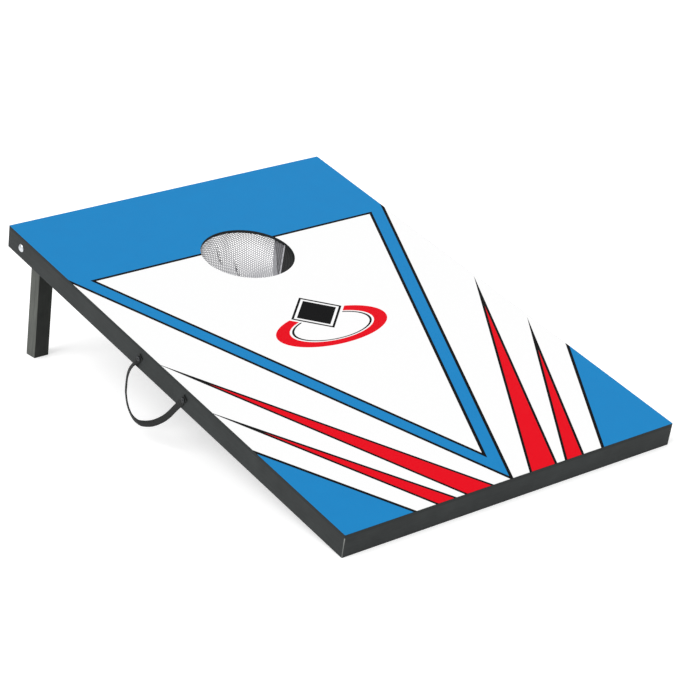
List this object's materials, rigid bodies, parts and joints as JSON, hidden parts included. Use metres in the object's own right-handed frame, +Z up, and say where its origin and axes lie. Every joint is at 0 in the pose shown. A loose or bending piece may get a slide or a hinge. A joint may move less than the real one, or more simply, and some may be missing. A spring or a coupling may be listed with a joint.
{
  "type": "cornhole board",
  "caption": "Sloping cornhole target board: printed deck with a round hole and catch net, fold-out rear legs and a webbing carry strap.",
  "frame": {"origin": "middle of the footprint of the board standing open on a floor, on the floor", "axes": "+X to the player's right, +Y from the low front edge to the raised back edge, +Z up; the deck slopes 12.5 degrees up towards +Y"},
  "size_m": [0.6068, 0.902, 0.2316],
  "materials": {
    "painted_rail": "black stained and satin lacquered softwood",
    "painted_leg": "black stained softwood, grain showing",
    "deck_board": "MDF with black painted edges and underside",
    "printed_film": "satin printed film in blue, white, red and black",
    "hardwood_dowel": "plain turned beech",
    "zinc_steel": "bright zinc plated",
    "bare_steel": "plain wire",
    "nut_steel": "bright zinc plated",
    "white_net": "white knitted polyester mesh",
    "black_tape": "black woven polyester tape",
    "black_webbing": "black woven polypropylene webbing",
    "black_screw": "black zinc"
  },
  "bodies": {
    "board": {"deck_panel": "deck_board", "deck_print": "printed_film", "left_rail": "painted_rail", "right_rail": "painted_rail", "front_rail": "painted_rail", "back_rail": "painted_rail", "cross_brace": "painted_rail", "front_left_block": "painted_rail", "front_right_block": "painted_rail", "mitre_dowels": "hardwood_dowel", "brace_dowels": "hardwood_dowel", "deck_brads": "bare_steel", "left_leg_bolt": "zinc_steel", "right_leg_bolt": "zinc_steel", "left_spacer_washer": "zinc_steel", "right_spacer_washer": "zinc_steel", "left_nut_washer": "zinc_steel", "right_nut_washer": "zinc_steel", "left_lock_nut": "nut_steel", "right_lock_nut": "nut_steel", "catch_net": "white_net", "net_hem": "black_tape", "net_staples": "bare_steel", "strap_ends": "black_webbing", "strap_screws": "black_screw"},
    "left_leg": {"left_leg": "painted_leg"},
    "right_leg": {"right_leg": "painted_leg"},
    "handle": {"strap_loop": "black_webbing"}
  },
  "joints": [
    {"name": "left_leg_fold", "type": "hinge", "parent": "board", "child": "left_leg", "pos_m": [-0.2584, 0.39254, 0.20343], "axis": [-1, 0, 0], "range_deg": [0, 90]},
    {"name": "right_leg_fold", "type": "hinge", "parent": "board", "child": "right_leg", "pos_m": [0.2584, 0.39254, 0.20343], "axis": [-1, 0, 0], "range_deg": [0, 90]},
    {"name": "strap_swing", "type": "hinge", "parent": "board", "child": "handle", "pos_m": [-0.3008, 0.00652, 0.09839], "axis": [0, 0.9763, 0.2164], "range_deg": [-60, 90]}
  ]
}
